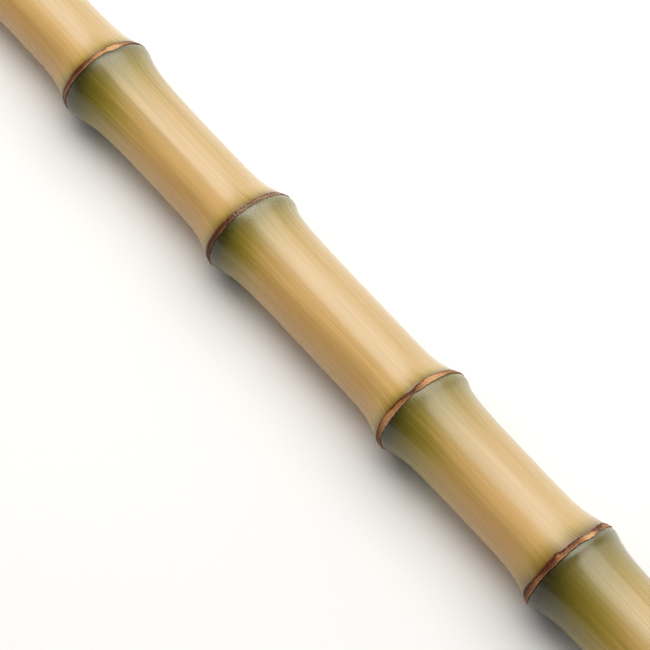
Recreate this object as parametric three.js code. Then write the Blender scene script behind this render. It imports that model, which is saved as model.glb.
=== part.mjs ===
// A sawn length of bamboo cane, lying on a level surface. Sizes are in millimetres, and +Z is up.
// The cane runs along X. Its thinner, upper end points to -X and its thicker, lower end to +X.
// It grew as one piece, so it is one solid: smooth stretches of stem, with a swollen joint after
// each. A joint carries the corky scar of a fallen leaf sheath, and its widest part, the collar,
// lies just past the scar. Both ends are sawn across a stretch, which opens the hollow inside it
// as far as the cross wall in the last joint.
import * as THREE from "three";

// The stretches between joints, from the upper end to the lower end. Length runs from scar to
// scar, or from a saw cut to the nearest scar. Sway is the centreline's offset to the side (Y).
const STRETCHES = [
  { length: 34.0, diameter: 21.9, sway: 0.1 },
  { length: 60.4, diameter: 22.15, sway: 0.21 },
  { length: 65.0, diameter: 22.5, sway: -0.22 },
  { length: 73.4, diameter: 23.9, sway: -0.07 },
  { length: 61.3, diameter: 25.0, sway: 0.12 },
  { length: 64.0, diameter: 26.1, sway: 0.22 },
  { length: 34.0, diameter: 27.0, sway: 0.17 },
];
const STEP_REACH = 11;

// The joints between them. A slope is how far the joint slants along X for a step along Y or Z.
// The collar's distance is from the scar, and the flare and the fall are the lengths over which
// the swelling rises before the collar and sinks past it. The rim of cork lies a little past the
// scar's plane, by rimPast on average, and leans by up to rimLeanY and rimLeanZ from there.
const JOINTS = [
  {
    slopeY: 0.06, slopeZ: -0.05, collar: 2.2, swelling: 2.45, flare: 6.4, fall: 5.2,
    rimPast: 0.7, rimLeanY: -0.28, rimLeanZ: -0.1,
  },
  {
    slopeY: 0.123, slopeZ: 0.042, collar: 3.5, swelling: 2.6, flare: 7.0, fall: 6.3,
    rimPast: 1.25, rimLeanY: -0.33, rimLeanZ: -0.11,
  },
  {
    slopeY: 0.108, slopeZ: 0.036, collar: 2.3, swelling: 2.55, flare: 6.8, fall: 4.8,
    rimPast: 0.85, rimLeanY: -0.66, rimLeanZ: -0.22,
  },
  {
    slopeY: 0.102, slopeZ: 0.045, collar: 1.9, swelling: 2.45, flare: 6.2, fall: 4.8,
    rimPast: 0.95, rimLeanY: -0.95, rimLeanZ: -0.32,
  },
  {
    slopeY: -0.008, slopeZ: 0.145, collar: 2.4, swelling: 2.4, flare: 7.4, fall: 5.0,
    rimPast: 0.5, rimLeanY: -0.2, rimLeanZ: -0.08,
  },
  {
    slopeY: -0.05, slopeZ: 0.06, collar: 2.1, swelling: 2.5, flare: 6.6, fall: 5.2,
    rimPast: 0.6, rimLeanY: -0.28, rimLeanZ: -0.1,
  },
];
const FLARE_POWER = 1.6;
const FALL_END = 26;
const SLANT_REACH_BEFORE = 40;
const SLANT_REACH_PAST = 7.5;

// How deep each collar is worn flat where it touches the surface
const WORN_DEPTH = 0.5;

// The scar: a rim of cork that stands a little proud, with a groove before it. The stem's surface
// follows the rim along X, less and less up to these distances before and past the scar.
const RIM_RISE = 0.34;
const RIM_HALF_WIDTH = 0.78;
const RIM_SLOPE = 0.28;
const GROOVE_DEPTH = 0.14;
const RIM_HOLD = { whole: 1.2, noneBefore: 8, nonePast: 6.4 };

// The sawn ends and the hollows inside them
const UPPER_WALL = 4.6;
const LOWER_WALL = 6.2;
const CROSS_WALL = 3.2;
const HOLLOW_CORNER = 3.0;
const SAWN_BEVEL = 0.35;

// How finely the surface is divided: distances of its rings of vertices from each scar
const SIDES = 36;
const RINGS_BEFORE_SCAR = [20, 13, 9, 6.4, 4.4, 2.8, 1.7];
const RINGS_ACROSS_SCAR = [-1.06, -0.5, 0.5, 1.06];
const RINGS_PAST_SCAR = [1.8, 2.8, 4.2, 6, 8.2, 11, 15.5, 22];
const CORNER_STEPS = 4;

const caneLength = STRETCHES.reduce((sum, stretch) => sum + stretch.length, 0);
const upperEnd = -caneLength / 2;
const lowerEnd = caneLength / 2;

// Where each scar crosses the cane's centreline
function scarPlaces() {
  const places = [];
  let x = upperEnd;
  for (const stretch of STRETCHES.slice(0, -1)) {
    x += stretch.length;
    places.push(x);
  }
  return places;
}
const scars = scarPlaces();

// A stretch's own value, which changes gently across each joint to that of the next stretch
function alongStretches(key, x) {
  let value = STRETCHES[0][key];
  scars.forEach((scar, i) => {
    const share = THREE.MathUtils.smoothstep(x, scar - STEP_REACH, scar + STEP_REACH);
    value += share * (STRETCHES[i + 1][key] - STRETCHES[i][key]);
  });
  return value;
}

// How far a joint swells the stem at a distance past its scar
function swellingRise(joint, pastScar) {
  const pastCollar = pastScar - joint.collar;
  if (pastCollar < 0) {
    return joint.swelling * Math.exp(-((-pastCollar / joint.flare) ** FLARE_POWER));
  }
  const fade = Math.max(0, 1 - (pastCollar / FALL_END) ** 2);
  return (joint.swelling * fade) / (1 + (pastCollar / joint.fall) ** 2);
}

// Outer radius of the stem at a place along it, without the scars' relief
function stemRadius(x) {
  const swelling = JOINTS.reduce((sum, joint, i) => sum + swellingRise(joint, x - scars[i]), 0);
  return alongStretches("diameter", x) / 2 + swelling;
}

// The centreline's height, which lets every collar touch the surface and wears each as deep
const collars = scars.map((scar, i) => scar + JOINTS[i].collar);
const collarHeights = collars.map((collar) => stemRadius(collar) - WORN_DEPTH);
function centreHeight(x) {
  const next = collars.findIndex((collar) => collar > x);
  if (next === 0) return collarHeights[0];
  if (next === -1) return collarHeights.at(-1);
  const share = THREE.MathUtils.inverseLerp(collars[next - 1], collars[next], x);
  return THREE.MathUtils.lerp(collarHeights[next - 1], collarHeights[next], share);
}

// The cork rim and the groove before it, at a distance past the scar
function scarRelief(pastScar) {
  const acrossRim = Math.abs(pastScar) - RIM_HALF_WIDTH;
  const rim = 1 - THREE.MathUtils.smoothstep(acrossRim, -RIM_SLOPE, RIM_SLOPE);
  const acrossGroove = (pastScar + RIM_HALF_WIDTH) / RIM_SLOPE + 1;
  return RIM_RISE * rim - GROOVE_DEPTH * Math.exp(-(acrossGroove ** 2));
}

// How uneven the cork is round the cane: from about half to one and a half times its mean height
function corkShare(number, angle) {
  const broad = 0.22 * Math.cos(2 * angle + 1.7 * number);
  const middling = 0.16 * Math.cos(5 * angle - 2.3 * number);
  const narrow = 0.12 * Math.cos(9 * angle + number);
  return 1 + broad + middling + narrow;
}

function nearestJoint(x) {
  let best = 0;
  scars.forEach((scar, i) => {
    if (Math.abs(x - scar) < Math.abs(x - scars[best])) best = i;
  });
  return best;
}

// Places along the cane where the outside has a ring of vertices, closest together at each scar
function outsideRings() {
  const rings = [];
  for (const scar of scars) {
    for (const before of RINGS_BEFORE_SCAR) rings.push(scar - before);
    for (const across of RINGS_ACROSS_SCAR) rings.push(scar + across);
    for (const past of RINGS_PAST_SCAR) rings.push(scar + past);
  }
  return rings;
}

// The hollow at one end, from the middle of its cross wall out to the saw cut. Outward is the
// direction along X from the cross wall to the saw cut.
function hollowOutline(end, outward, scar, wall) {
  const radius = stemRadius(end) - wall;
  const bottom = scar + (outward * CROSS_WALL) / 2;
  const points = [new THREE.Vector2(0, bottom)];
  for (let step = 0; step <= CORNER_STEPS; step++) {
    const turn = (Math.PI / 2) * (step / CORNER_STEPS);
    points.push(new THREE.Vector2(
      radius - HOLLOW_CORNER + HOLLOW_CORNER * Math.sin(turn),
      bottom + outward * HOLLOW_CORNER * (1 - Math.cos(turn)),
    ));
  }
  points.push(new THREE.Vector2(radius, (bottom + end) / 2));
  points.push(new THREE.Vector2(radius, end));
  return points;
}

// Half of the cane's lengthwise section, from the axis at one cross wall to the axis at the other
function caneOutline() {
  const upperHollow = hollowOutline(upperEnd, -1, scars[0], UPPER_WALL);
  const lowerHollow = hollowOutline(lowerEnd, 1, scars.at(-1), LOWER_WALL);
  const upperRadius = stemRadius(upperEnd);
  const lowerRadius = stemRadius(lowerEnd);
  return [
    ...upperHollow,
    new THREE.Vector2(upperRadius - SAWN_BEVEL, upperEnd),
    new THREE.Vector2(upperRadius, upperEnd + SAWN_BEVEL),
    ...outsideRings().map((x) => new THREE.Vector2(stemRadius(x), x)),
    new THREE.Vector2(lowerRadius, lowerEnd - SAWN_BEVEL),
    new THREE.Vector2(lowerRadius - SAWN_BEVEL, lowerEnd),
    ...lowerHollow.reverse(),
  ];
}

// How far past the scar's plane the rim of cork lies at an angle round the cane
function rimPlace(joint, angle) {
  return joint.rimPast + joint.rimLeanY * Math.sin(angle) + joint.rimLeanZ * Math.cos(angle);
}

// How far the stem's surface follows the rim, from 0 to 1, at a distance past the scar
function rimHold(pastScar) {
  const end = pastScar < 0 ? RIM_HOLD.noneBefore : RIM_HOLD.nonePast;
  return 1 - THREE.MathUtils.smoothstep(Math.abs(pastScar), RIM_HOLD.whole, end);
}

// Moves the cane's outside along X to where each rim of cork lies, and raises the cork there
function raiseCork(point) {
  const radius = Math.hypot(point.y, point.z);
  const insideHollow = radius < stemRadius(point.x) - UPPER_WALL / 2;
  if (insideHollow) return;
  const number = nearestJoint(point.x);
  const pastScar = point.x - scars[number];
  const angle = Math.atan2(point.y, point.z);
  const movedX = point.x + rimPlace(JOINTS[number], angle) * rimHold(pastScar);
  const rise = scarRelief(pastScar) * corkShare(number, angle);
  const change = stemRadius(movedX) - stemRadius(point.x) + rise;
  point.x = movedX;
  point.y *= 1 + change / radius;
  point.z *= 1 + change / radius;
}

// Slants a joint, lifts the centreline to its height and sway, and wears the collars flat where
// they touch the surface
function settle(point) {
  const x = point.x;
  const number = nearestJoint(x);
  const pastScar = x - scars[number];
  const reach = pastScar < 0 ? SLANT_REACH_BEFORE : SLANT_REACH_PAST;
  const hold = Math.max(0, 1 - (pastScar / reach) ** 2) ** 2;
  const joint = JOINTS[number];
  point.x += hold * (joint.slopeY * point.y + joint.slopeZ * point.z);
  point.y += alongStretches("sway", x);
  point.z = Math.max(0, point.z + centreHeight(x));
}

function caneGeometry() {
  const geometry = new THREE.LatheGeometry(caneOutline(), SIDES);
  geometry.rotateZ(-Math.PI / 2);
  const positions = geometry.getAttribute("position");
  const point = new THREE.Vector3();
  for (let i = 0; i < positions.count; i++) {
    point.fromBufferAttribute(positions, i);
    raiseCork(point);
    settle(point);
    positions.setXYZ(i, point.x, point.y, point.z);
  }
  geometry.computeBoundingBox();
  const middle = geometry.boundingBox.getCenter(new THREE.Vector3());
  geometry.translate(-middle.x, -middle.y, 0);
  geometry.computeVertexNormals();
  return geometry;
}

const bambooSkin = new THREE.MeshStandardMaterial({
  color: 0xd2b377,
  roughness: 0.42,
  metalness: 0,
});

const cane = new THREE.Mesh(caneGeometry(), bambooSkin);
cane.name = "bamboo_cane";

const part = new THREE.Group();
part.add(cane);

export default part;
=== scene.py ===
# %% [markdown]
# # A sawn length of bamboo cane
# A bamboo stem is a hollow tube of fibres that is closed off at every joint. Each joint carries
# the scar of the leaf sheath that once wrapped the stem, a thin rim of cork, and just past it
# the stem is widest: that is the collar. This lesson dresses a measured model of such a cane:
# a finer stem, a rim of cork for each joint, and a finish for each of its surfaces.
# The measured model comes in first, because every piece has to lie exactly where it does.

# %% Load the measured model
import math

import bmesh
import bpy
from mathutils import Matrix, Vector, noise


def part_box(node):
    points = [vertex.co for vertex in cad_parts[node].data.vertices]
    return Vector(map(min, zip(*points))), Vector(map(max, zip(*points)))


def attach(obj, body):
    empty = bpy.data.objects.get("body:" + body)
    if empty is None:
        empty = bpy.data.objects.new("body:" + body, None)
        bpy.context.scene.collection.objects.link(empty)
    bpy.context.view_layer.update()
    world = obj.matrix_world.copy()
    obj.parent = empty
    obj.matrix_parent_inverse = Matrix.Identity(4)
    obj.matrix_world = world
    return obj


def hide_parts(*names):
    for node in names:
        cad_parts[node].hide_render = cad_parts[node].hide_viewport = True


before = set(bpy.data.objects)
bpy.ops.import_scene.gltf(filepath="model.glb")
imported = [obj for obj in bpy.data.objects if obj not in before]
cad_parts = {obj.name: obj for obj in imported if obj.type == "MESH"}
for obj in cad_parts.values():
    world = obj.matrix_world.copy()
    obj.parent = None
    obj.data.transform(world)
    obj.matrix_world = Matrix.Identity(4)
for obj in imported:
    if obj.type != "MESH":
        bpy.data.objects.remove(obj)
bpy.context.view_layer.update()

MM = 0.001
CANE = "bamboo_cane"
cane_low, cane_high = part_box(CANE)
print("The cane lies between", [round(v, 4) for v in cane_low], [round(v, 4) for v in cane_high])

# %% [markdown]
# ## The camera
# The cane is seen from high up on its right, with its lower end a little nearer. A long lens
# far away keeps its edges almost parallel, as a studio picture of a small thing does; an
# orthographic camera would make them quite parallel, which is a little too flat. The picture
# is square, so one field of view serves both ways.

# %% Place the camera
VIEW_AZIMUTH = 50.2
VIEW_ELEVATION = 62.2
VIEW_DISTANCE = 1.4
SEEN_WIDTH = 0.1791
SENSOR_WIDTH = 36.0
LOOKED_AT = Vector((0.0008, -0.0032, 0.0129))


def direction(azimuth, elevation):
    """The unit vector from the cane towards a point at that azimuth and elevation in degrees."""
    a = math.radians(azimuth)
    e = math.radians(elevation)
    return Vector((math.sin(a) * math.cos(e), -math.cos(a) * math.cos(e), math.sin(e)))


def aim(thing, place, target):
    """Puts a camera or lamp at a place and turns it to face a target, with no roll."""
    thing.location = place
    thing.rotation_euler = (target - place).to_track_quat("-Z", "Y").to_euler()
    bpy.context.scene.collection.objects.link(thing)


camera_data = bpy.data.cameras.new("camera")
camera_data.sensor_width = SENSOR_WIDTH
camera_data.lens = SENSOR_WIDTH * VIEW_DISTANCE / SEEN_WIDTH
camera_data.clip_start = 0.05
camera_data.clip_end = 50
camera = bpy.data.objects.new("camera", camera_data)
aim(camera, LOOKED_AT + VIEW_DISTANCE * direction(VIEW_AZIMUTH, VIEW_ELEVATION), LOOKED_AT)
bpy.context.scene.camera = camera
print("Lens of", round(camera_data.lens, 1), "mm")

# %% [markdown]
# ## The light
# Three soft oval lamps light the cane. The key lamp hangs above and beyond it and gives the pale
# sheen right of the middle. It is longest along the cane, so that the sheen also runs on over
# the slopes of the collars. The side lamp, low beyond the cane, keeps that whole side bright.
# The top lamp opens up the shade on the near side and isn't mirrored. The sky is almost dark,
# so that the shaded side mirrors little and its colours stay deep.

# %% Light the cane
LAMPS = {
    "key_light": {"towards": (-0.12, 0.33, 0.93), "half_angles": (50.0, 27.0), "radiance": 2.18},
    "side_light": {"towards": (-0.30, 0.89, 0.35), "half_angles": (34.0, 26.0), "radiance": 0.8},
    "top_light": {"towards": (-0.30, -0.12, 0.95), "half_angles": (28.0, 28.0), "radiance": 1.35,
                  "mirrored": False},
}
LAMP_DISTANCE = 1.25
LAMP_COLOR = (1.0, 0.985, 0.96)
SKY_COLOR = (0.95, 0.98, 1.0, 1)
SKY_STRENGTH = 0.08


def place_lamp(name, towards, half_angles, radiance, mirrored=True):
    """A soft oval lamp that fills those half angles along and across the cane, seen from it."""
    half_sizes = [LAMP_DISTANCE * math.tan(math.radians(angle)) for angle in half_angles]
    data = bpy.data.lights.new(name, "AREA")
    data.shape = "ELLIPSE"
    data.size = 2 * half_sizes[0]
    data.size_y = 2 * half_sizes[1]
    data.energy = radiance * math.pi * (math.pi * half_sizes[0] * half_sizes[1])
    data.color = LAMP_COLOR
    lamp = bpy.data.objects.new(name, data)
    lamp.visible_camera = False
    lamp.visible_glossy = mirrored
    aim(lamp, LOOKED_AT + LAMP_DISTANCE * Vector(towards).normalized(), LOOKED_AT)
    return lamp


lamps = [place_lamp(name, **settings) for name, settings in LAMPS.items()]
world = bpy.data.worlds.new("studio")
world.use_nodes = True
sky = world.node_tree.nodes["Background"]
sky.inputs["Color"].default_value = SKY_COLOR
sky.inputs["Strength"].default_value = SKY_STRENGTH
bpy.context.scene.world = world
bpy.context.scene.view_settings.view_transform = "Standard"
print("Lamps:", [(lamp.name, round(lamp.data.energy, 1)) for lamp in lamps])

# %% [markdown]
# ## Helpers for finishes
# Every finish is a small tree of nodes. They could be wired by hand in the editor, but then no
# one could read them here. These helpers keep the trees readable: each adds one kind of node,
# wires it up and hands back the socket that carries its result.


# %% Node helpers
def add_node(tree, kind, inputs=None, **settings):
    """Adds a shader node, sets its properties and fills in its inputs by name or number."""
    node = tree.nodes.new("ShaderNode" + kind)
    for name, value in settings.items():
        setattr(node, name, value)
    for name, value in (inputs or {}).items():
        if isinstance(value, bpy.types.NodeSocket):
            tree.links.new(value, node.inputs[name])
        else:
            node.inputs[name].default_value = value
    return node


def ramp(tree, factor, stops, interpolation="LINEAR"):
    """A colour ramp with a list of (place, colour) stops. It returns the colour socket."""
    node = add_node(tree, "ValToRGB", {"Fac": factor})
    node.color_ramp.interpolation = interpolation
    points = node.color_ramp.elements
    while len(points) < len(stops):
        points.new(0.5)
    for point, (place, colour) in zip(points, stops):
        point.position = place
        point.color = (*colour, 1) if len(colour) == 3 else colour
    return node.outputs["Color"]


def mix_colour(tree, factor, first, second, blend="MIX"):
    """Mixes two colours. A Mix node takes them at inputs 6 and 7 and gives them at output 2."""
    node = add_node(tree, "Mix", data_type="RGBA", blend_type=blend, clamp_factor=True)
    sockets = (node.inputs[0], node.inputs[6], node.inputs[7])
    for socket, value in zip(sockets, (factor, first, second)):
        if isinstance(value, bpy.types.NodeSocket):
            tree.links.new(value, socket)
        elif isinstance(value, tuple):
            socket.default_value = (*value, 1)
        else:
            socket.default_value = value
    return node.outputs[2]


def maths(tree, operation, first, second=0.0, clamp=False):
    """One Math node, for sockets or numbers. It returns the value socket."""
    node = add_node(tree, "Math", {0: first, 1: second}, operation=operation, use_clamp=clamp)
    return node.outputs[0]


def remap(tree, value, low, high, new_low=0.0, new_high=1.0):
    """Maps a span of values to another with soft ends."""
    spans = {"From Min": low, "From Max": high, "To Min": new_low, "To Max": new_high}
    node = add_node(tree, "MapRange", {"Value": value, **spans}, interpolation_type="SMOOTHSTEP")
    return node.outputs["Result"]


def attribute(tree, name, output="Fac"):
    """A value or vector that the piece's own points carry."""
    return add_node(tree, "Attribute", attribute_name=name).outputs[output]


def new_material(name):
    """A material and its main shader, as (material, tree, shader)."""
    material = bpy.data.materials.new(name)
    material.use_nodes = True
    tree = material.node_tree
    return material, tree, tree.nodes["Principled BSDF"]


print("Node helpers ready")

# %% [markdown]
# ## Two effects that several finishes share
# Bamboo is all long fibres, so its skin, its hollow lining and the cork all show streaks. The
# first group stretches a noise along one axis: its inputs are the streaks' real width and
# length. The second group scatters small specks of a given size, for wax, cork pores and dust.


# %% Streak and speck groups
SPECK_LEVEL = 0.85
SPECK_CONTRAST = 9.0


def new_group(name, inputs, outputs):
    """A node group with float or vector sockets, as (tree, input node, output node)."""
    tree = bpy.data.node_groups.new(name, "ShaderNodeTree")
    for socket, kind, value in inputs:
        made = tree.interface.new_socket(socket, in_out="INPUT", socket_type="NodeSocket" + kind)
        if value is not None:
            made.default_value = value
    for socket, kind in outputs:
        tree.interface.new_socket(socket, in_out="OUTPUT", socket_type="NodeSocket" + kind)
    return tree, tree.nodes.new("NodeGroupInput"), tree.nodes.new("NodeGroupOutput")


def make_streaks():
    """The group of streaks, which run along the X axis of a position."""
    sockets = [("Position", "Vector", None), ("Width", "Float", 0.001), ("Length", "Float", 0.05)]
    tree, start, end = new_group("fibre_streaks", sockets, [("Streak", "Float")])
    width = start.outputs["Width"]
    cell = add_node(tree, "CombineXYZ", {0: start.outputs["Length"], 1: width, 2: width})
    stretch = {0: start.outputs["Position"], 1: cell.outputs[0]}
    place = add_node(tree, "VectorMath", stretch, operation="DIVIDE").outputs[0]
    settings = {"Vector": place, "Scale": 1.0, "Detail": 2.0, "Roughness": 0.6}
    grain = add_node(tree, "TexNoise", settings)
    tree.links.new(grain.outputs["Fac"], end.inputs["Streak"])
    return tree


def make_specks():
    """The group of round specks, which cover about a given share of a surface."""
    sockets = [("Position", "Vector", None), ("Size", "Float", 0.0003), ("Share", "Float", 0.4)]
    tree, start, end = new_group("fine_specks", sockets, [("Mask", "Float")])
    scale = maths(tree, "DIVIDE", 1.0, start.outputs["Size"])
    settings = {"Vector": start.outputs["Position"], "Scale": scale, "Detail": 3.0}
    grain = add_node(tree, "TexNoise", settings).outputs["Fac"]
    level = maths(tree, "SUBTRACT", SPECK_LEVEL, start.outputs["Share"])
    above = maths(tree, "SUBTRACT", grain, level)
    mask = maths(tree, "MULTIPLY", above, SPECK_CONTRAST, clamp=True)
    tree.links.new(mask, end.inputs["Mask"])
    return tree


streak_group = make_streaks()
speck_group = make_specks()


def streaks(tree, position, width, length):
    """Long streaks of a real width and length in metres, from 0 to 1."""
    node = add_node(tree, "Group", node_tree=streak_group)
    tree.links.new(position, node.inputs["Position"])
    node.inputs["Width"].default_value = width
    node.inputs["Length"].default_value = length
    return node.outputs["Streak"]


def specks(tree, position, size, share):
    """Specks of a real size in metres that cover about a share of the surface."""
    node = add_node(tree, "Group", node_tree=speck_group)
    tree.links.new(position, node.inputs["Position"])
    node.inputs["Size"].default_value = size
    node.inputs["Share"].default_value = share
    return node.outputs["Mask"]


print("Groups:", streak_group.name, speck_group.name)

# %% [markdown]
# ## The skin
# The skin of a cut cane has dried from green to tan, paler on the side that lay in the sun.
# That side is also the one the lamps light, so its paler tan is partly painted light and the more
# orange tan of the shaded side partly painted shade. A brighter stripe that runs along the cane
# where that side begins is painted light.
# The green stays longest just past each scar: almost black-green at the cork, then olive, then
# a yellow that runs out into the tan. On the sunned and lit side it has faded more, partly as
# painted light. A thin bloom of white wax still frosts the collar; it lies only on the lit side,
# where its paleness is partly a painted sheen. A narrow olive band lies before the cork; it is
# painted darkest at the foot of the rim and reaches further on the shaded side, as painted shade.
# Every fade follows the fibres: fine streaks stretch and squeeze it a little. The points of the
# stem carry how far along each fade they lie, from 0 at the cork to 1 where it ends.
# The sunned side, which the lamps light, is also the glossier one, so it gets a clear coat that
# blurs the lamps.

# %% Colours of the skin
# The sunned side is also the one the lamps light: its paler tan is partly painted light, and the
# shaded side's more orange tan partly painted shade.
SHADED_TAN = (0.600, 0.350, 0.110)
SUNNED_AND_LIT_TAN = (0.600, 0.410, 0.160)
# A stripe of painted light, brighter where the shaded side turns to the lit one.
PAINTED_LIGHT_STRIPE = (0.735, 0.455, 0.160)
FADE_COLOURS = [
    (0.00, (0.018, 0.015, 0.002)),
    (0.09, (0.036, 0.030, 0.002)),
    (0.16, (0.078, 0.066, 0.003)),
    (0.26, (0.185, 0.142, 0.009)),
    (0.42, (0.330, 0.240, 0.030)),
    (0.63, (0.470, 0.310, 0.070)),
    (1.00, (0.590, 0.370, 0.120)),
]
FADE_SHARES = [
    (0.00, (1.0, 1.0, 1.0)),
    (0.42, (1.0, 1.0, 1.0)),
    (1.00, (0.0, 0.0, 0.0)),
]
# The olive band before each rim, painted darkest at the rim's foot as the shade in that crease.
BAND_AND_SHADE_COLOURS = [
    (0.00, (0.170, 0.085, 0.010)),
    (0.12, (0.270, 0.165, 0.020)),
    (0.32, (0.380, 0.265, 0.034)),
    (0.65, (0.500, 0.350, 0.070)),
]
BAND_AND_SHADE_SHARES = [
    (0.00, (1.0, 1.0, 1.0)),
    (0.25, (0.8, 0.8, 0.8)),
    (0.55, (0.35, 0.35, 0.35)),
    (1.00, (0.0, 0.0, 0.0)),
]
# Pale wax bloom, laid only on the lit side, where its paleness is partly a painted sheen.
WAX_AND_SHEEN = (0.52, 0.50, 0.34)
SPOT_BROWN = (0.22, 0.12, 0.05)
print("Greens and yellows past a scar:", len(FADE_COLOURS))

# %% Streaks of the skin
FINE_FIBRES = {"width": 0.00032, "length": 0.030}
MIDDLING_FIBRES = {"width": 0.0011, "length": 0.070}
BROAD_STRIPES = {"width": 0.0060, "length": 0.300}
WAX_DASHES = {"width": 0.00022, "length": 0.0007}
WAX_PATCHES = {"width": 0.0030, "length": 0.008}
BROWN_SPOTS = {"size": 0.0007, "share": 0.13}
FINE_TONES = [(0.25, (0.93, 0.92, 0.90)), (0.75, (1.05, 1.05, 1.06))]
MIDDLING_TONES = [(0.30, (0.95, 0.93, 0.91)), (0.70, (1.04, 1.04, 1.06))]
FADE_UNEVENNESS = 0.55
WAX_DASH_SPAN = (0.42, 0.64)
WAX_DASH_STRENGTH = 1.4
WAX_BETWEEN = 0.2
WAX_PATCH_SPANS = (0.30, 0.70, 0.5, 1.1)


def dried_skin(tree, grain):
    """The skin's dried tan away from the joints, painted paler on the lit side and in a stripe."""
    broad = streaks(tree, grain, **BROAD_STRIPES)
    sunned_and_lit = maths(tree, "ADD", attribute(tree, "sunned_and_lit"), maths(tree, "SUBTRACT", broad, 0.5))
    tan = mix_colour(tree, sunned_and_lit, SHADED_TAN, SUNNED_AND_LIT_TAN)
    return mix_colour(tree, attribute(tree, "painted_stripe"), tan, PAINTED_LIGHT_STRIPE)


def with_green(tree, skin, fine, middling):
    """The skin with the green past each rim, and the olive band and painted shade before it."""
    stretch = maths(tree, "SUBTRACT", maths(tree, "ADD", fine, middling), 1.0)
    stretch = maths(tree, "ADD", maths(tree, "MULTIPLY", stretch, FADE_UNEVENNESS), 1.0)
    faded = maths(tree, "MULTIPLY", attribute(tree, "faded"), stretch, clamp=True)
    greens = ramp(tree, faded, FADE_COLOURS)
    skin = mix_colour(tree, ramp(tree, faded, FADE_SHARES), skin, greens)
    band_and_shade = maths(tree, "MULTIPLY", attribute(tree, "band_and_shade"), stretch, clamp=True)
    return mix_colour(tree, ramp(tree, band_and_shade, BAND_AND_SHADE_SHARES), skin, ramp(tree, band_and_shade, BAND_AND_SHADE_COLOURS))


def fibre_tones(tree, fine, middling):
    """The slight light and dark of the fibres."""
    fine_tone = ramp(tree, fine, FINE_TONES)
    return mix_colour(tree, 1.0, fine_tone, ramp(tree, middling, MIDDLING_TONES), "MULTIPLY")


def wax_and_sheen_left(tree, grain):
    """How much wax bloom, partly a painted sheen, lies on the skin: patches of short dashes."""
    dashes = remap(tree, streaks(tree, grain, **WAX_DASHES), *WAX_DASH_SPAN)
    dashes = maths(tree, "MULTIPLY", dashes, WAX_DASH_STRENGTH)
    dashed = maths(tree, "ADD", dashes, WAX_BETWEEN)
    patches = remap(tree, streaks(tree, grain, **WAX_PATCHES), *WAX_PATCH_SPANS)
    frost_and_glint = maths(tree, "MULTIPLY", patches, dashed)
    return maths(tree, "MULTIPLY", attribute(tree, "bloom_and_sheen"), frost_and_glint, clamp=True)


print("Fibres of", [round(f["width"] / MM, 2) for f in (FINE_FIBRES, MIDDLING_FIBRES)], "mm")

# %% Make the skin
SKIN_ROUGHNESS = 0.22
FIBRE_ROUGHNESS = 0.10
WAX_ROUGHNESS = 0.15
SPOT_STRENGTH = 0.6
FIBRE_RELIEF = 0.00003
GLOSS_SHARE = 0.8
GLOSS_ROUGHNESS = 0.34
GLOSS_IOR = 1.8


def make_skin():
    """The skin: colour, then roughness and relief, then the gloss of the sunned side."""
    material, tree, shader = new_material("cane_skin")
    grain = attribute(tree, "grain", "Vector")
    fine = streaks(tree, grain, **FINE_FIBRES)
    middling = streaks(tree, grain, **MIDDLING_FIBRES)
    wax_and_sheen = wax_and_sheen_left(tree, grain)
    spots = maths(tree, "MULTIPLY", specks(tree, grain, **BROWN_SPOTS), SPOT_STRENGTH)
    skin = with_green(tree, dried_skin(tree, grain), fine, middling)
    skin = mix_colour(tree, 1.0, skin, fibre_tones(tree, fine, middling), "MULTIPLY")
    # The wax bloom's pale colour is partly a painted sheen on the lit side.
    skin = mix_colour(tree, wax_and_sheen, skin, WAX_AND_SHEEN)
    skin = mix_colour(tree, spots, skin, SPOT_BROWN)

    roughness = maths(tree, "ADD", maths(tree, "MULTIPLY", fine, FIBRE_ROUGHNESS), SKIN_ROUGHNESS)
    waxy = maths(tree, "MULTIPLY", wax_and_sheen, WAX_ROUGHNESS)
    roughness = maths(tree, "ADD", roughness, waxy, clamp=True)
    relief = maths(tree, "ADD", fine, maths(tree, "MULTIPLY", middling, 2.0))
    relief = maths(tree, "ADD", relief, maths(tree, "MULTIPLY", wax_and_sheen, 2.0))
    bump = add_node(tree, "Bump", {"Height": relief, "Distance": FIBRE_RELIEF, "Strength": 0.6})
    tree.links.new(skin, shader.inputs["Base Color"])
    tree.links.new(roughness, shader.inputs["Roughness"])
    tree.links.new(bump.outputs[0], shader.inputs["Normal"])

    gloss = maths(tree, "MULTIPLY", attribute(tree, "sunned_and_lit"), GLOSS_SHARE)
    tree.links.new(gloss, shader.inputs["Coat Weight"])
    shader.inputs["Coat Roughness"].default_value = GLOSS_ROUGHNESS
    shader.inputs["Coat IOR"].default_value = GLOSS_IOR
    return material


skin_finish = make_skin()
print("Made", skin_finish.name)

# %% [markdown]
# ## The sawn faces and the hollow
# A saw cut shows the ends of the fibre bundles as brown dots in pale pith. They are few and
# large near the hollow and crowd together towards the skin. Inside, the hollow is lined with a
# thin pale papery layer. Two sizes of cell noise, blended by the depth in the wall, make dots
# that crowd outwards without a seam.

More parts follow.
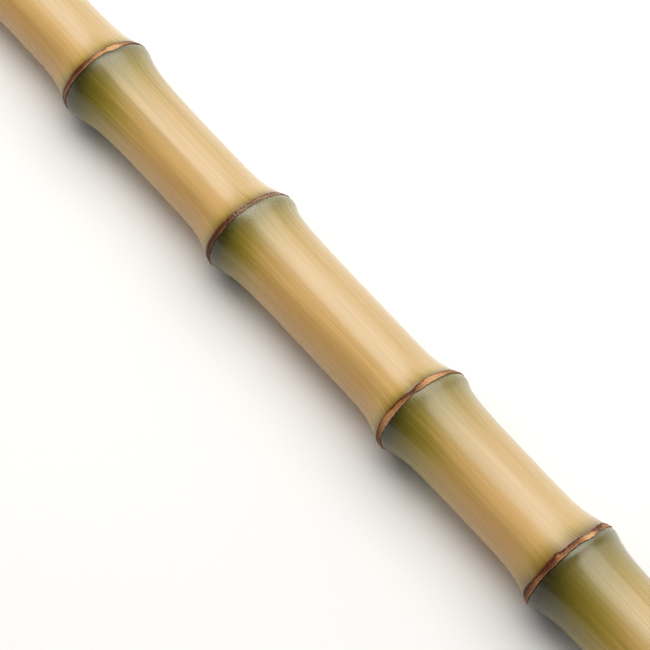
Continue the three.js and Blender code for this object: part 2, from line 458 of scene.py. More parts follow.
# %% Make the sawn face
PITH = (0.64, 0.50, 0.28)
WALL_COLOURS = [
    (0.00, (0.50, 0.36, 0.18)),
    (0.07, PITH),
    (0.70, (0.55, 0.41, 0.20)),
    (0.97, (0.34, 0.22, 0.08)),
]
DULL_PITH = (0.47, 0.34, 0.17)
BUNDLE_BROWN = (0.23, 0.125, 0.045)
INNER_BUNDLES = {"spacing": 0.00105, "size": 0.00034}
OUTER_BUNDLES = {"spacing": 0.00052, "size": 0.00021}
CROWDING_SPAN = (0.35, 0.72)
BUNDLE_STRENGTH = 0.8
DULL_SPECKS = {"size": 0.0009, "share": 0.35}
SAW_MARKS = {"Scale": 1100.0, "Distortion": 2.5, "Detail": 2.0}
SAW_RELIEF = 0.00006


def bundle_dots(tree, position, spacing, size):
    """Dots of a real spacing and size in metres, from the nearest cell's distance."""
    scale = 1.0 / spacing
    cells = add_node(tree, "TexVoronoi", {"Vector": position, "Scale": scale, "Randomness": 0.75})
    reach = size * scale
    return remap(tree, cells.outputs["Distance"], reach, reach * 0.5)


def make_sawn_face():
    """The sawn end: pith that darkens outwards, bundles of fibre and the marks of the saw."""
    material, tree, shader = new_material("sawn_face")
    place = add_node(tree, "TexCoord").outputs["Object"]
    across = {0: place, 1: (0.0, 1.0, 1.0)}
    flat = add_node(tree, "VectorMath", across, operation="MULTIPLY").outputs[0]
    depth = attribute(tree, "wall_depth")
    inner = bundle_dots(tree, flat, **INNER_BUNDLES)
    outer = bundle_dots(tree, flat, **OUTER_BUNDLES)
    dots = mix_colour(tree, remap(tree, depth, *CROWDING_SPAN), inner, outer)
    dots = maths(tree, "MULTIPLY", dots, BUNDLE_STRENGTH)
    wall = ramp(tree, depth, WALL_COLOURS)
    wall = mix_colour(tree, specks(tree, place, **DULL_SPECKS), wall, DULL_PITH)
    wall = mix_colour(tree, dots, wall, BUNDLE_BROWN)
    marks = add_node(tree, "TexWave", {"Vector": flat, **SAW_MARKS}, bands_direction="Z")
    relief = maths(tree, "SUBTRACT", maths(tree, "MULTIPLY", marks.outputs["Fac"], 0.5), dots)
    bump = add_node(tree, "Bump", {"Height": relief, "Distance": SAW_RELIEF, "Strength": 0.8})
    tree.links.new(wall, shader.inputs["Base Color"])
    tree.links.new(bump.outputs[0], shader.inputs["Normal"])
    shader.inputs["Roughness"].default_value = 0.8
    return material


sawn_finish = make_sawn_face()
print("Made", sawn_finish.name)

# %% Make the lining
PAPER_TONES = [(0.3, (0.50, 0.38, 0.22)), (0.7, (0.74, 0.64, 0.45))]
STAINED_PAPER = (0.42, 0.29, 0.15)
PAPER_FIBRES = {"width": 0.0005, "length": 0.012}
PAPER_STAINS = {"size": 0.004, "share": 0.40}
PAPER_RELIEF = 0.00012


def make_lining():
    """The papery lining of the hollow, streaked along the cane and stained in patches."""
    material, tree, shader = new_material("hollow_lining")
    grain = attribute(tree, "grain", "Vector")
    fine = streaks(tree, grain, **PAPER_FIBRES)
    patches = specks(tree, grain, **PAPER_STAINS)
    paper = ramp(tree, fine, PAPER_TONES)
    paper = mix_colour(tree, maths(tree, "MULTIPLY", patches, 0.5), paper, STAINED_PAPER)
    bump = add_node(tree, "Bump", {"Height": fine, "Distance": PAPER_RELIEF, "Strength": 0.7})
    tree.links.new(paper, shader.inputs["Base Color"])
    tree.links.new(bump.outputs[0], shader.inputs["Normal"])
    shader.inputs["Roughness"].default_value = 0.85
    return material


lining_finish = make_lining()
print("Made", lining_finish.name)

# %% [markdown]
# ## The cork
# The sheath scar is a rim of cork. Its edge towards the thin end is dark red-brown, its face is
# grainy, and a thin pinkish line runs along the collar. Where the rim is thick and freshly
# rubbed the face is a light orange; where it is thin and old it is as dark as its edge, and pale
# flecks of old sheath may frost it. The flecks lie only on the side that the lamps light, so
# they are partly painted glints. Each band could be a finish of its own, but then they would
# meet in clean lines, and real cork has none. So one finish holds them all, and the points of
# each rim carry how far across it they lie, how pale it is there, and how thick its flecks and
# painted glints lie.

# %% Make the cork
CORK_EDGE = (0.085, 0.016, 0.004)
CORK_FACES = [
    (0.0, (0.095, 0.018, 0.004)),
    (0.3, (0.230, 0.080, 0.016)),
    (0.6, (0.480, 0.200, 0.058)),
    (1.0, (0.760, 0.420, 0.180)),
]
CORK_LIPS = [
    (0.0, (0.220, 0.100, 0.050)),
    (0.3, (0.400, 0.220, 0.120)),
    (1.0, (0.740, 0.470, 0.280)),
]
# Pale flecks of old sheath, laid only on the lit side, where they are partly painted glints.
CORK_FROST_AND_GLINT = (0.66, 0.50, 0.40)
CORK_FIBRES = {"width": 0.00020, "length": 0.0010}
PORES = {"size": 0.00030, "share": 0.30}
FLECKS = {"size": 0.00035, "share": 0.36}
CORK_TONES = [(0.3, (0.76, 0.74, 0.72)), (0.7, (1.15, 1.15, 1.15))]
CORK_WANDER = 0.30
EDGE_SHARE = 0.52
EDGE_LOST_TO_PALE = 0.45
EDGE_SOFTNESS = 0.10
LIP_SPAN = (0.78, 0.90)
PORE_DARKNESS = 0.4
PORE_DEPTH = 0.6
CORK_RELIEF = 0.0001


def cork_colour(tree, across, pale, wander):
    """The dark edge, the face and the pinkish lip of a rim, side by side."""
    face = ramp(tree, maths(tree, "ADD", pale, maths(tree, "MULTIPLY", wander, 0.8)), CORK_FACES)
    lost = maths(tree, "MULTIPLY", pale, EDGE_LOST_TO_PALE)
    past_edge = maths(tree, "SUBTRACT", across, maths(tree, "SUBTRACT", EDGE_SHARE, lost))
    on_face = remap(tree, past_edge, -EDGE_SOFTNESS, EDGE_SOFTNESS)
    cork = mix_colour(tree, on_face, CORK_EDGE, face)
    return mix_colour(tree, remap(tree, across, *LIP_SPAN), cork, ramp(tree, pale, CORK_LIPS))


def make_cork():
    """The cork: its bands of colour, then dark pores, pale flecks and fibres over them."""
    material, tree, shader = new_material("sheath_scar")
    place = add_node(tree, "TexCoord").outputs["Object"]
    grain = attribute(tree, "grain", "Vector")
    fibres = streaks(tree, grain, **CORK_FIBRES)
    pores = specks(tree, place, **PORES)
    wander = maths(tree, "MULTIPLY", maths(tree, "SUBTRACT", fibres, 0.5), CORK_WANDER)
    across = maths(tree, "ADD", attribute(tree, "across"), wander)
    cork = cork_colour(tree, across, attribute(tree, "paleness"), wander)
    cork = mix_colour(tree, maths(tree, "MULTIPLY", pores, PORE_DARKNESS), cork, CORK_EDGE)
    # The pale flecks follow the lit side: partly painted glints.
    frost_and_glint = maths(tree, "MULTIPLY", specks(tree, grain, **FLECKS), attribute(tree, "frost_and_glint"))
    cork = mix_colour(tree, frost_and_glint, cork, CORK_FROST_AND_GLINT)
    cork = mix_colour(tree, 1.0, cork, ramp(tree, fibres, CORK_TONES), "MULTIPLY")
    relief = maths(tree, "SUBTRACT", fibres, maths(tree, "MULTIPLY", pores, PORE_DEPTH))
    bump = add_node(tree, "Bump", {"Height": relief, "Distance": CORK_RELIEF, "Strength": 0.9})
    tree.links.new(cork, shader.inputs["Base Color"])
    tree.links.new(bump.outputs[0], shader.inputs["Normal"])
    shader.inputs["Roughness"].default_value = 0.62
    shader.inputs["Specular IOR Level"].default_value = 0.2
    return material


cork_finish = make_cork()
print("Made", cork_finish.name)

# %% [markdown]
# ## The shape of the stem
# The stem's outline is one formula: a diameter for each stretch, which steps up gently at each
# joint, and a swelling at each joint that rises slowly, peaks at the collar and sinks past it.
# Each joint is slanted, and its rim of cork lies a little past the scar and leans there once
# more. These are the measured model's own sizes, in millimetres, so the stem fits it exactly.

# %% Sizes of the stem
STRETCHES = [
    {"length": 34.0, "diameter": 21.9, "sway": 0.1},
    {"length": 60.4, "diameter": 22.15, "sway": 0.21},
    {"length": 65.0, "diameter": 22.5, "sway": -0.22},
    {"length": 73.4, "diameter": 23.9, "sway": -0.07},
    {"length": 61.3, "diameter": 25.0, "sway": 0.12},
    {"length": 64.0, "diameter": 26.1, "sway": 0.22},
    {"length": 34.0, "diameter": 27.0, "sway": 0.17},
]
STEP_REACH = 11.0
JOINTS = [
    {"collar": 2.2, "swelling": 2.45, "flare": 6.4, "fall": 5.2, "slope_y": 0.06, "slope_z": -0.05,
     "rim_past": 0.7, "rim_lean_y": -0.28, "rim_lean_z": -0.1},
    {"collar": 3.5, "swelling": 2.6, "flare": 7.0, "fall": 6.3, "slope_y": 0.123, "slope_z": 0.042,
     "rim_past": 1.25, "rim_lean_y": -0.33, "rim_lean_z": -0.11},
    {"collar": 2.3, "swelling": 2.55, "flare": 6.8, "fall": 4.8, "slope_y": 0.108, "slope_z": 0.036,
     "rim_past": 0.85, "rim_lean_y": -0.66, "rim_lean_z": -0.22},
    {"collar": 1.9, "swelling": 2.45, "flare": 6.2, "fall": 4.8, "slope_y": 0.102, "slope_z": 0.045,
     "rim_past": 0.95, "rim_lean_y": -0.95, "rim_lean_z": -0.32},
    {"collar": 2.4, "swelling": 2.4, "flare": 7.4, "fall": 5.0, "slope_y": -0.008, "slope_z": 0.145,
     "rim_past": 0.5, "rim_lean_y": -0.2, "rim_lean_z": -0.08},
    {"collar": 2.1, "swelling": 2.5, "flare": 6.6, "fall": 5.2, "slope_y": -0.05, "slope_z": 0.06,
     "rim_past": 0.6, "rim_lean_y": -0.28, "rim_lean_z": -0.1},
]
RIM_HOLD = {"whole": 1.2, "none_before": 8.0, "none_past": 6.4}
FLARE_POWER = 1.6
FALL_END = 26.0
SLANT_REACH_BEFORE = 40.0
SLANT_REACH_PAST = 7.5
WORN_DEPTH = 0.5

cane_length = sum(stretch["length"] for stretch in STRETCHES)
upper_end = -cane_length / 2
lower_end = cane_length / 2
scars = [upper_end + sum(s["length"] for s in STRETCHES[: i + 1]) for i in range(len(JOINTS))]
print("Scars at", [round(scar, 1) for scar in scars], "mm")


# %% Radius and height of the stem
def smoothstep(value, low, high):
    """A share that rises smoothly from 0 at low to 1 at high."""
    share = min(1.0, max(0.0, (value - low) / (high - low)))
    return share * share * (3 - 2 * share)


def along_stretches(key, x):
    """A stretch's own value, which changes gently across each joint to the next one's."""
    value = STRETCHES[0][key]
    for i, scar in enumerate(scars):
        share = smoothstep(x, scar - STEP_REACH, scar + STEP_REACH)
        value += share * (STRETCHES[i + 1][key] - STRETCHES[i][key])
    return value


def swelling_rise(joint, past_scar):
    """How far a joint swells the stem at a distance past its scar."""
    past_collar = past_scar - joint["collar"]
    if past_collar < 0:
        return joint["swelling"] * math.exp(-((-past_collar / joint["flare"]) ** FLARE_POWER))
    fade = max(0.0, 1 - (past_collar / FALL_END) ** 2)
    return joint["swelling"] * fade / (1 + (past_collar / joint["fall"]) ** 2)


def stem_radius(x):
    """The stem's outer radius at a place along it."""
    swelling = sum(swelling_rise(joint, x - scar) for joint, scar in zip(JOINTS, scars))
    return along_stretches("diameter", x) / 2 + swelling


collars = [scar + joint["collar"] for joint, scar in zip(JOINTS, scars)]
collar_heights = [stem_radius(collar) - WORN_DEPTH for collar in collars]


def centre_height(x):
    """The centreline's height, which lets every collar touch the surface."""
    if x <= collars[0]:
        return collar_heights[0]
    for i in range(1, len(collars)):
        if x <= collars[i]:
            share = (x - collars[i - 1]) / (collars[i] - collars[i - 1])
            return collar_heights[i - 1] + share * (collar_heights[i] - collar_heights[i - 1])
    return collar_heights[-1]


print("Collars stand", [round(height, 1) for height in collar_heights], "mm high at their middle")


# %% Lean and slant of the joints
def nearest_joint(x):
    """The number of the joint whose scar is nearest."""
    return min(range(len(scars)), key=lambda i: abs(x - scars[i]))


def rim_place(number, angle):
    """How far past the scar's plane a rim of cork lies at an angle round the cane."""
    joint = JOINTS[number]
    lean = joint["rim_lean_y"] * math.sin(angle) + joint["rim_lean_z"] * math.cos(angle)
    return joint["rim_past"] + lean


def rim_hold(past_scar):
    """How far the stem's surface follows the rim, from 0 to 1, at a distance past the scar."""
    end = RIM_HOLD["none_before"] if past_scar < 0 else RIM_HOLD["none_past"]
    return 1 - smoothstep(abs(past_scar), RIM_HOLD["whole"], end)


def settled(x, y, z):
    """Moves a point of the straight stem to where it grew and lies, and wears the collars flat."""
    number = nearest_joint(x)
    joint = JOINTS[number]
    past_scar = x - scars[number]
    reach = SLANT_REACH_BEFORE if past_scar < 0 else SLANT_REACH_PAST
    hold = max(0.0, 1 - (past_scar / reach) ** 2) ** 2
    slanted_x = x + hold * (joint["slope_y"] * y + joint["slope_z"] * z)
    return Vector((slanted_x, y + along_stretches("sway", x), max(0.0, z + centre_height(x))))


print("Rims lie", [round(rim_place(i, 0.0), 2) for i in range(len(JOINTS))], "mm past their scars")

# %% [markdown]
# ## The outline
# Half of the lengthwise section is drawn once, from the middle of one cross wall, out along
# the hollow, over the sawn face, along the skin and back in at the other end. Points crowd
# together where the shape turns fast.

# %% Draw the outline
UPPER_WALL = 4.6
LOWER_WALL = 6.2
CROSS_WALL = 3.2
CROSS_WALL_DOME = 0.5
HOLLOW_CORNER = 3.0
SAWN_BEVEL = 0.35
CORNER_STEPS = 6
HOLLOW_STEPS = 12
FACE_STEPS = 12
SPACINGS = [(2.0, 0.16), (7.0, 0.4), (16.0, 1.0), (60.0, 2.4)]


def spaced(limit):
    """Distances from a scar, closest together near it, up to a limit."""
    places = []
    distance = SPACINGS[0][1] / 2
    while distance < limit:
        places.append(distance)
        distance += next(step for reach, step in SPACINGS if distance < reach)
    return places


def outside_places():
    """Places along the skin: half a stretch on each side of a scar, or a whole one at an end."""
    places = []
    last = len(scars) - 1
    for i, scar in enumerate(scars):
        before = STRETCHES[i]["length"] * (1 if i == 0 else 0.5) - 2 * SAWN_BEVEL
        past = STRETCHES[i + 1]["length"] * (1 if i == last else 0.5) - 2 * SAWN_BEVEL
        places += [scar - d for d in reversed(spaced(before))]
        places += [scar + d for d in spaced(past)]
    return places


print("Places along the skin:", len(outside_places()))

# %% Draw the hollows and join the outline
BEVEL_CORNER = 0.3


def hollow_points(end, outward, scar, wall):
    """The hollow at one end, from the middle of its domed cross wall to the saw cut."""
    radius = stem_radius(end) - wall
    bottom = scar + outward * CROSS_WALL / 2
    floor_edge = radius - HOLLOW_CORNER
    points = []
    for step in range(CORNER_STEPS):
        r = floor_edge * step / CORNER_STEPS
        points.append((bottom + outward * CROSS_WALL_DOME * (1 - (r / floor_edge) ** 2), r))
    for step in range(CORNER_STEPS + 1):
        turn = math.pi / 2 * step / CORNER_STEPS
        x = bottom + outward * HOLLOW_CORNER * (1 - math.cos(turn))
        points.append((x, floor_edge + HOLLOW_CORNER * math.sin(turn)))
    start = points[-1][0]
    step_length = (end - start) / HOLLOW_STEPS
    points += [(start + step_length * step, radius) for step in range(1, HOLLOW_STEPS)]
    face = stem_radius(end) - SAWN_BEVEL - radius
    points += [(end, radius + face * step / FACE_STEPS) for step in range(FACE_STEPS + 1)]
    return points


def stem_outline():
    """The whole outline, from the middle of one hollow's floor to the middle of the other's."""
    corner = SAWN_BEVEL * BEVEL_CORNER
    points = hollow_points(upper_end, -1, scars[0], UPPER_WALL)
    points.append((upper_end + corner, stem_radius(upper_end) - corner))
    points.append((upper_end + SAWN_BEVEL, stem_radius(upper_end)))
    points += [(x, stem_radius(x)) for x in outside_places()]
    points.append((lower_end - SAWN_BEVEL, stem_radius(lower_end)))
    points.append((lower_end - corner, stem_radius(lower_end) - corner))
    points += reversed(hollow_points(lower_end, 1, scars[-1], LOWER_WALL))
    return points


outline = stem_outline()
print("Outline of", len(outline), "points")

# %% [markdown]
# ## How wide each rim of cork is
# No rim is even. The four in the picture follow it: thick light patches, a thin notch, a dark
# old stretch. Each patch is an angle round the cane and a spread in degrees, and says what it
# adds there to the rim's width, height and place along the cane in millimetres, and to its
# paleness. Smooth noise on a circle adds the rest and meets where the ring closes. Angle 0 is
# straight up.

# %% Describe the rims
RIMS = [
    {"half_width": 0.65, "rise": 0.29, "paleness": 0.35, "patches": [
        {"angle": 10, "spread": 25, "wider": 0.20, "paler": 0.35},
        {"angle": -60, "spread": 25, "wider": -0.10, "paler": -0.20},
    ]},
    {"half_width": 0.80, "rise": 0.30, "paleness": 0.30, "patches": [
        {"angle": -8, "spread": 8, "wider": 0.05, "paler": 0.25},
        {"angle": 2, "spread": 4, "wider": -0.02, "paler": -0.10},
        {"angle": 16, "spread": 12, "wider": 0.32, "paler": 0.70, "further": 0.2},
        {"angle": 42, "spread": 14, "wider": -0.05, "paler": 0.25},
    ]},
    {"half_width": 0.64, "rise": 0.27, "paleness": 0.06, "frost_and_glint": 0.75, "patches": [
        {"angle": -46, "spread": 26, "wider": 0.08, "paler": -0.20},
        {"angle": -6, "spread": 12, "wider": 0.05, "paler": 0.22},
        {"angle": 14, "spread": 8, "wider": -0.08, "paler": 0.16},
        {"angle": 50, "spread": 14, "wider": -0.02, "paler": 0.25},
    ]},
    {"half_width": 0.88, "rise": 0.34, "paleness": 0.48, "patches": [
        {"angle": -90, "spread": 14, "wider": -0.12, "paler": -0.20, "higher": 0.10},
        {"angle": -55, "spread": 12, "wider": 0.05, "paler": 0.18},
        {"angle": -24, "spread": 6, "wider": -0.05, "paler": -0.12},
        {"angle": -14, "spread": 5, "wider": -0.28, "paler": -0.25, "higher": -0.12},
        {"angle": 16, "spread": 15, "wider": 0.20, "paler": 0.50, "higher": 0.08},
        {"angle": 64, "spread": 16, "wider": -0.28, "paler": -0.10},
    ]},
    {"half_width": 1.00, "rise": 0.34, "paleness": 0.26, "patches": [
        {"angle": -76, "spread": 20, "wider": 0.26, "paler": 0.14},
        {"angle": -21, "spread": 4, "wider": 0.26, "paler": 0.32, "higher": 0.24, "further": -0.25},
        {"angle": -10, "spread": 6, "wider": -0.20, "paler": 0.05},
        {"angle": 19, "spread": 8, "wider": 0.05, "paler": 0.70, "further": 1.0},
        {"angle": 40, "spread": 12, "paler": 0.10, "further": 0.2},
        {"angle": 72, "spread": 18, "higher": -0.16},
    ]},
    {"half_width": 0.74, "rise": 0.32, "paleness": 0.35, "patches": [
        {"angle": 30, "spread": 20, "wider": 0.15, "paler": 0.30},
        {"angle": -30, "spread": 16, "wider": -0.18, "paler": -0.15},
    ]},
]
THINNEST_RIM = 0.30
WIDTH_WAVES = 0.30
WIDTH_RIPPLES = 0.22
PLACE_WAVES = 0.20
PLACE_NOISE = 40
print("Patches on each rim:", [len(rim["patches"]) for rim in RIMS])


# %% Width of a rim at an angle
def ring_noise(number, angle, fineness, height=0.0):
    """Smooth noise round the cane, from about -0.5 to 0.5, that closes on itself."""
    place = Vector((fineness * math.cos(angle), fineness * math.sin(angle), 7.3 * number + height))
    return noise.noise(place)


def from_patches(number, angle, key):
    """What a rim's patches add together to one of its measures at an angle round the cane."""
    total = 0.0
    for patch in RIMS[number]["patches"]:
        turn = (math.degrees(angle) - patch["angle"] + 180) % 360 - 180
        total += patch.get(key, 0.0) * math.exp(-((turn / patch["spread"]) ** 2))
    return total


def rim_span(number, angle):
    """The rim's middle past its place there and its half width, at an angle round the cane."""
    half = RIMS[number]["half_width"] + from_patches(number, angle, "wider")
    waves = WIDTH_WAVES * ring_noise(number, angle, 1.6)
    half *= 1 + waves + WIDTH_RIPPLES * ring_noise(number, angle, 7)
    strayed = PLACE_WAVES * ring_noise(number + PLACE_NOISE, angle, 3)
    return from_patches(number, angle, "further") + strayed, max(THINNEST_RIM, half)


print("Half widths on top:", [round(rim_span(i, 0.0)[1], 2) for i in range(len(RIMS))], "mm")

# %% [markdown]
# ## What the points of the stem carry
# The finishes need to know where on the cane they are: how much sun that side had, which is also
# the side that the lamps light, for its painted light and shade; where the painted light stripe
# runs; how far the green past one rim and the olive band before the next have faded there; how
# much wax, partly a painted sheen, is left; and how deep in the wall they lie. A picture wrapped
# round the stem could hold that, but a value on each point is exact, and follows the stem when
# its shape is changed.

# %% Sun and fading
BLOOM_AND_SHEEN_REACH = 9.0
# The sunned side is the side the lamps light; what is painted paler there is partly painted light.
SUNNED_AND_LIT_SIDE = {"start": -58, "full": -8, "waning": 60, "end": 130}
SHADED_FADE, SUNNED_AND_LIT_FADE = range(2)
# Each pair is (shaded, sunned). The sunned greens are partly painted light, as that side is lit.
FADES = [
    {"starts": (0.08, 0.22), "reaches": (28.0, 34.0), "band_and_shade": 5.0, "bloom_and_sheen": 0.14},
    {"starts": (0.04, 0.11), "reaches": (38.0, 42.0), "band_and_shade": 4.5, "bloom_and_sheen": 0.13},
    {"starts": (0.04, 0.14), "reaches": (26.0, 30.0), "band_and_shade": 5.0, "bloom_and_sheen": 0.26},
    {"starts": (0.08, 0.20), "reaches": (36.0, 44.0), "band_and_shade": 5.0, "bloom_and_sheen": 0.12},
    {"starts": (0.03, 0.13), "reaches": (58.0, 68.0), "band_and_shade": 8.5, "bloom_and_sheen": 0.10},
    {"starts": (0.05, 0.18), "reaches": (42.0, 50.0), "band_and_shade": 7.0, "bloom_and_sheen": 0.12},
]
# Where the painted light stripe runs round the cane and how wide it is, in degrees.
STRIPE_ANGLE = -27.0
STRIPE_SPREAD = 15.0
# The green's other fade curve on the lit side is partly painted light.
SUNNED_AND_LIT_CURVE = 0.25
# The olive band reaches further on the shaded side: painted shade.
SHADED_BAND = 0.3


def sunned_and_lit_share(angle):
    """How sunned, and lit by the lamps, the skin is at an angle round the cane, from 0 to 1."""
    turn = math.degrees(angle)
    waxing = smoothstep(turn, SUNNED_AND_LIT_SIDE["start"], SUNNED_AND_LIT_SIDE["full"])
    return waxing * (1 - smoothstep(turn, SUNNED_AND_LIT_SIDE["waning"], SUNNED_AND_LIT_SIDE["end"]))


def mix(pair, share):
    """The value between a pair's shaded and sunned ones."""
    return pair[SHADED_FADE] + share * (pair[SUNNED_AND_LIT_FADE] - pair[SHADED_FADE])


def faded_share(fades, past_rim, sunned_and_lit):
    """How far the green has faded at a distance past the rim, from 0 to 1 where it ends."""
    # On the lit side the green is painted more faded: partly painted light.
    start = mix(fades["starts"], sunned_and_lit)
    along = max(0.0, past_rim) / mix(fades["reaches"], sunned_and_lit)
    return start + (1 - start) * along ** (1 - SUNNED_AND_LIT_CURVE * sunned_and_lit)


print("Sun on top:", round(sunned_and_lit_share(0.0), 2))

# %% Values of a point
GRAIN_RADIUS = 12.0
LAYERS = ["faded", "band_and_shade", "bloom_and_sheen", "sunned_and_lit", "painted_stripe", "wall_depth"]


def carry(vertex, layers, x, y, z, radius):
    """Gives a vertex of the straight stem the values that the finishes read."""
    scale = GRAIN_RADIUS / radius if radius > 0.01 else 0.0
    vertex[layers["grain"]] = Vector((x, y * scale, z * scale)) * MM
    angle = math.atan2(y, z)
    # The sunned side is also the lit one: what follows it is partly painted light and shade.
    sunned_and_lit = sunned_and_lit_share(angle)
    vertex[layers["sunned_and_lit"]] = sunned_and_lit
    # The stripe is painted light, along the cane where the lit side begins.
    from_stripe = (math.degrees(angle) - STRIPE_ANGLE) / STRIPE_SPREAD
    vertex[layers["painted_stripe"]] = math.exp(-(from_stripe**2))
    vertex[layers["faded"]] = 1.0
    vertex[layers["band_and_shade"]] = 1.0
    for number, scar in enumerate(scars):
        middle, half = rim_span(number, angle)
        fades = FADES[number]
        if x >= scar + middle:
            past_rim = x - scar - middle - half
            vertex[layers["faded"]] = faded_share(fades, past_rim, sunned_and_lit)
            # The wax bloom is kept to the lit side, where it is partly a painted sheen.
            bloom_and_sheen = 1 - smoothstep(past_rim, 0, BLOOM_AND_SHEEN_REACH)
            vertex[layers["bloom_and_sheen"]] = fades["bloom_and_sheen"] * bloom_and_sheen * sunned_and_lit**3
        elif x > scar - 2 * fades["band_and_shade"] - half:
            # On the shaded side the band reaches further: painted shade.
            reach = fades["band_and_shade"] * (1 + SHADED_BAND * (1 - sunned_and_lit))
            vertex[layers["band_and_shade"]] = max(0.0, scar - half - x) / reach
    wall = UPPER_WALL if x < 0 else LOWER_WALL
    vertex[layers["wall_depth"]] = 1 - (stem_radius(x) - radius) / wall


print("Values on each point:", LAYERS + ["grain"])

# %% [markdown]
# ## Spin the stem
# The outline is spun once round the cane's axis, and its doubled seam and poles are merged. A
# Screw modifier would give the same shape, but its points exist only once it is applied, so
# they couldn't get their values and be moved one by one here. Last, the points move a little,
# for the lean of each rim, the faint fluting of the fibres and the groove before each rim, and
# settle into the slanted joints and worn collars.

# %% Spin and finish a piece
MERGE_DISTANCE = 0.002


def spin_outline(bm, points, steps, closed=False):
    """Spins an outline of (x, radius) points round the X axis into a closed skin."""
    verts = [bm.verts.new((x, 0.0, radius)) for x, radius in points]
    pairs = list(zip(verts, verts[1:])) + ([(verts[-1], verts[0])] if closed else [])
    edges = [bm.edges.new(pair) for pair in pairs]
    bmesh.ops.spin(
        bm, geom=verts + edges, cent=(0, 0, 0), axis=(1, 0, 0), dvec=(0, 0, 0),
        angle=math.tau, steps=steps, use_merge=True, use_duplicate=False,
    )
    bmesh.ops.remove_doubles(bm, verts=bm.verts[:], dist=MERGE_DISTANCE)
    bmesh.ops.recalc_face_normals(bm, faces=bm.faces[:])


def finish_piece(bm, name, finishes):
    """Makes a bmesh in millimetres a smooth object in metres that rides on the cane."""
    bmesh.ops.scale(bm, vec=(MM, MM, MM), verts=bm.verts[:])
    mesh = bpy.data.meshes.new(name)
    bm.to_mesh(mesh)
    bm.free()
    mesh.shade_smooth()
    for finish in finishes:
        mesh.materials.append(finish)
    piece = bpy.data.objects.new(name, mesh)
    bpy.context.scene.collection.objects.link(piece)
    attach(piece, "root")
    return piece


print("Points closer than", MERGE_DISTANCE, "mm merge")

# %% Build the stem
STEM_SIDES = 160
SKIN, SAWN, LINING = range(3)
FLUTING = 0.035
FLUTE_LENGTH = 70.0
FLUTE_WIDTH = 1.8
SAW_ROUGHNESS = 0.05
SAW_LINES = {"across": 0.9, "down": 2.2}
SAWN_REACH = SAWN_BEVEL * 0.2
SAW_MARK_REACH = SAWN_BEVEL * 0.1
GROOVE_DEPTH = 0.04
GROOVE_WIDTH = 0.25
GROOVE_NEAR = 3.5
SHARP_EDGE = 50


def finish_at(x, radius):
    """Which finish a face of the straight stem gets, from its middle."""
    if min(x - upper_end, lower_end - x) < SAWN_REACH:
        return SAWN
    return LINING if radius < stem_radius(x) - UPPER_WALL / 2 else SKIN


def lean_and_groove(x, angle):
    """The shift along X and the rise that a place on the outside gets from the nearest rim."""
    number = nearest_joint(x)
    past_scar = x - scars[number]
    shift = rim_place(number, angle) * rim_hold(past_scar)
    rise = stem_radius(x + shift) - stem_radius(x)
    if abs(past_scar) < GROOVE_NEAR:
        middle, half = rim_span(number, angle)
        rise -= GROOVE_DEPTH * math.exp(-(((past_scar - middle + half) / GROOVE_WIDTH) ** 2))
    return shift, rise


def shaped(x, y, z, grain):
    """Where a point of the straight stem goes: saw marks at the ends, flutes along the skin."""
    radius = math.hypot(y, z)
    if min(x - upper_end, lower_end - x) < SAW_MARK_REACH:
        mark = Vector((x, y * SAW_LINES["across"], z * SAW_LINES["down"]))
        x += SAW_ROUGHNESS * noise.noise(mark)
    elif radius > stem_radius(x) - UPPER_WALL / 2:
        flute = Vector((x / FLUTE_LENGTH, grain.y / FLUTE_WIDTH, grain.z / FLUTE_WIDTH))
        shift, rise = lean_and_groove(x, math.atan2(y, z))
        x += shift
        scale = 1 + (rise + FLUTING * noise.noise(flute)) / radius
        y *= scale
        z *= scale
    return settled(x, y, z)


def build_stem():
    """The stem in millimetres, with its finishes and the values of its points."""
    bm = bmesh.new()
    layers = {name: bm.verts.layers.float.new(name) for name in LAYERS}
    layers["grain"] = bm.verts.layers.float_vector.new("grain")
    spin_outline(bm, outline, STEM_SIDES)
    for face in bm.faces:
        middle = face.calc_center_median()
        face.material_index = finish_at(middle.x, math.hypot(middle.y, middle.z))
    for vertex in bm.verts:
        x, y, z = vertex.co
        carry(vertex, layers, x, y, z, math.hypot(y, z))
        vertex.co = shaped(x, y, z, vertex[layers["grain"]] / MM)
    return bm


stem_bm = build_stem()
lows = Vector(min(v.co[i] for v in stem_bm.verts) for i in range(3))
highs = Vector(max(v.co[i] for v in stem_bm.verts) for i in range(3))
CENTRING = Vector((-(lows.x + highs.x) / 2, -(lows.y + highs.y) / 2, 0.0))
bmesh.ops.translate(stem_bm, vec=CENTRING, verts=stem_bm.verts[:])
stem = finish_piece(stem_bm, "cane_stem", [skin_finish, sawn_finish, lining_finish])
stem.data.set_sharp_from_angle(angle=math.radians(SHARP_EDGE))
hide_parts(CANE)
print("Stem of", len(stem.data.polygons), "faces")

# %% [markdown]
# ## Rims of cork
# On the real cane the rims are one tissue with the stem, and on the measured model they are a
# part of its solid. Here each is a piece of its own, so that it can be far finer than the stem.
# A small closed section is spun round the axis, and then every point is moved to the rim's own
# width and height at its angle. Finer noise makes the edges ragged and the top crumbly. The
# section's foot stays sunk in the stem, so that no gap shows.

# %% Section and unevenness of a rim
RIM_STEPS = 420
RIM_SECTION = [
    (-1.0, -0.9), (-1.0, 0.0), (-0.88, 0.45), (-0.66, 0.66), (-0.46, 0.56), (-0.24, 0.72),
    (0.0, 0.86), (0.26, 0.92), (0.50, 0.98), (0.68, 1.02), (0.80, 1.14), (0.92, 1.16),
    (1.0, 0.85), (1.0, 0.0), (1.0, -0.9),
]
RAGGEDNESS = 0.13
CRUMBLE = 0.30
HEIGHT_WAVES = 0.6
HEIGHT_NOISE = 20
PALENESS_WAVES = 0.5
PALENESS_NOISE = 60


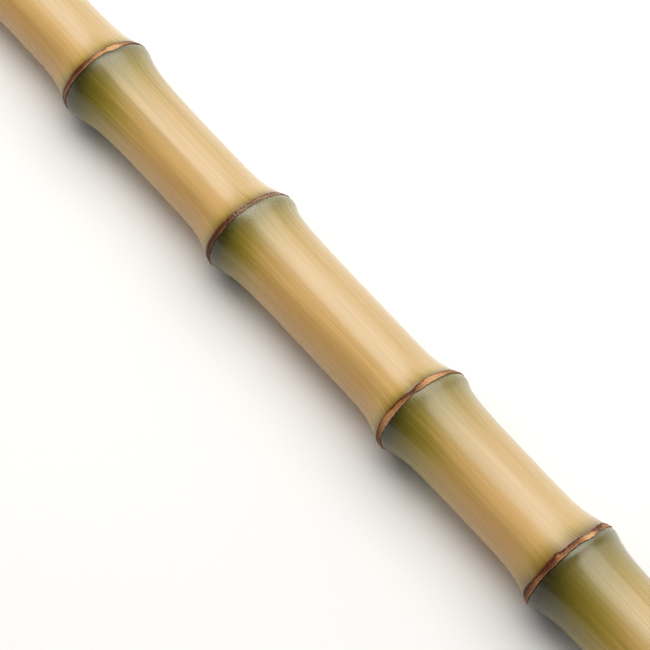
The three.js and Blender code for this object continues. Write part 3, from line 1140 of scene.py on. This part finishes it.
def rim_point(number, across, height, angle):
    """Where a point of the section goes at an angle round the cane, as (x, radius)."""
    middle, half = rim_span(number, angle)
    ragged = ring_noise(number, angle, 28, across) + ring_noise(number, angle, 80, 3 * across)
    rise = RIMS[number]["rise"] + from_patches(number, angle, "higher")
    rise *= 1 + HEIGHT_WAVES * ring_noise(number + HEIGHT_NOISE, angle, 2.1)
    crumbly = 1 + CRUMBLE * ring_noise(number, angle, 40, 2.5 * across)
    x = scars[number] + rim_place(number, angle) + middle
    x += across * half + RAGGEDNESS * ragged * (0.4 + abs(across))
    return x, stem_radius(x) + height * rise * (crumbly if height > 0 else 1.0)


def rim_paleness(number, angle):
    """How pale a rim is at an angle round the cane, from 0 to 1."""
    pale = RIMS[number]["paleness"] + from_patches(number, angle, "paler")
    pale += PALENESS_WAVES * ring_noise(number + PALENESS_NOISE, angle, 2.6)
    return max(0.0, min(1.0, pale))


print("Paleness on top:", [round(rim_paleness(i, 0.0), 2) for i in range(len(RIMS))])

# %% Build the rims of cork
USUAL_FROST_AND_GLINT = 0.2


def build_rim(number):
    """One rim of cork, spun from its section and fitted to its own measures."""
    base = stem_radius(scars[number])
    most_frost_and_glint = RIMS[number].get("frost_and_glint", USUAL_FROST_AND_GLINT)
    bm = bmesh.new()
    layers = {name: bm.verts.layers.float.new(name) for name in ("across", "paleness", "frost_and_glint")}
    grain_layer = bm.verts.layers.float_vector.new("grain")
    section = [(across, base + height) for across, height in RIM_SECTION]
    spin_outline(bm, section, RIM_STEPS, closed=True)
    for vertex in bm.verts:
        across = vertex.co.x
        height = math.hypot(vertex.co.y, vertex.co.z) - base
        angle = math.atan2(vertex.co.y, vertex.co.z)
        x, radius = rim_point(number, across, height, angle)
        round_place = Vector((x, GRAIN_RADIUS * math.sin(angle), GRAIN_RADIUS * math.cos(angle)))
        vertex[layers["across"]] = (across + 1) / 2
        vertex[layers["paleness"]] = rim_paleness(number, angle)
        # Flecks only where the lamps light the rim: partly painted glints.
        vertex[layers["frost_and_glint"]] = most_frost_and_glint * sunned_and_lit_share(angle) ** 3
        vertex[grain_layer] = round_place * MM
        vertex.co = settled(x, radius * math.sin(angle), radius * math.cos(angle)) + CENTRING
    return finish_piece(bm, f"sheath_scar_{number + 1}", [cork_finish])


rims = [build_rim(number) for number in range(len(JOINTS))]
print("Rims of", [len(rim.data.polygons) for rim in rims], "faces")

# %% [markdown]
# ## The floor
# A plain pale floor lies under the cane and takes its soft shadow. It is far larger than the
# picture, so no view of the cane meets its edge, and it is matt, so it mirrors no lamp.

# %% Lay the floor
FLOOR_RADIUS = 15.0
FLOOR_SIDES = 96
FLOOR_COLOR = (0.93, 0.93, 0.925, 1)
FLOOR_ROUGHNESS = 0.9
floor_material, _, floor_shader = new_material("floor")
floor_shader.inputs["Base Color"].default_value = FLOOR_COLOR
floor_shader.inputs["Roughness"].default_value = FLOOR_ROUGHNESS
floor_shader.inputs["Specular IOR Level"].default_value = 0.0
floor_bm = bmesh.new()
bmesh.ops.create_circle(floor_bm, cap_ends=True, segments=FLOOR_SIDES, radius=FLOOR_RADIUS)
floor_mesh = bpy.data.meshes.new("floor")
floor_bm.to_mesh(floor_mesh)
floor_bm.free()
floor_mesh.materials.append(floor_material)
floor = bpy.data.objects.new("floor", floor_mesh)
bpy.context.scene.collection.objects.link(floor)
print("Floor of", FLOOR_RADIUS, "m radius")

# %% [markdown]
# ## Finish

# %% Finish
print("The cane is dressed")
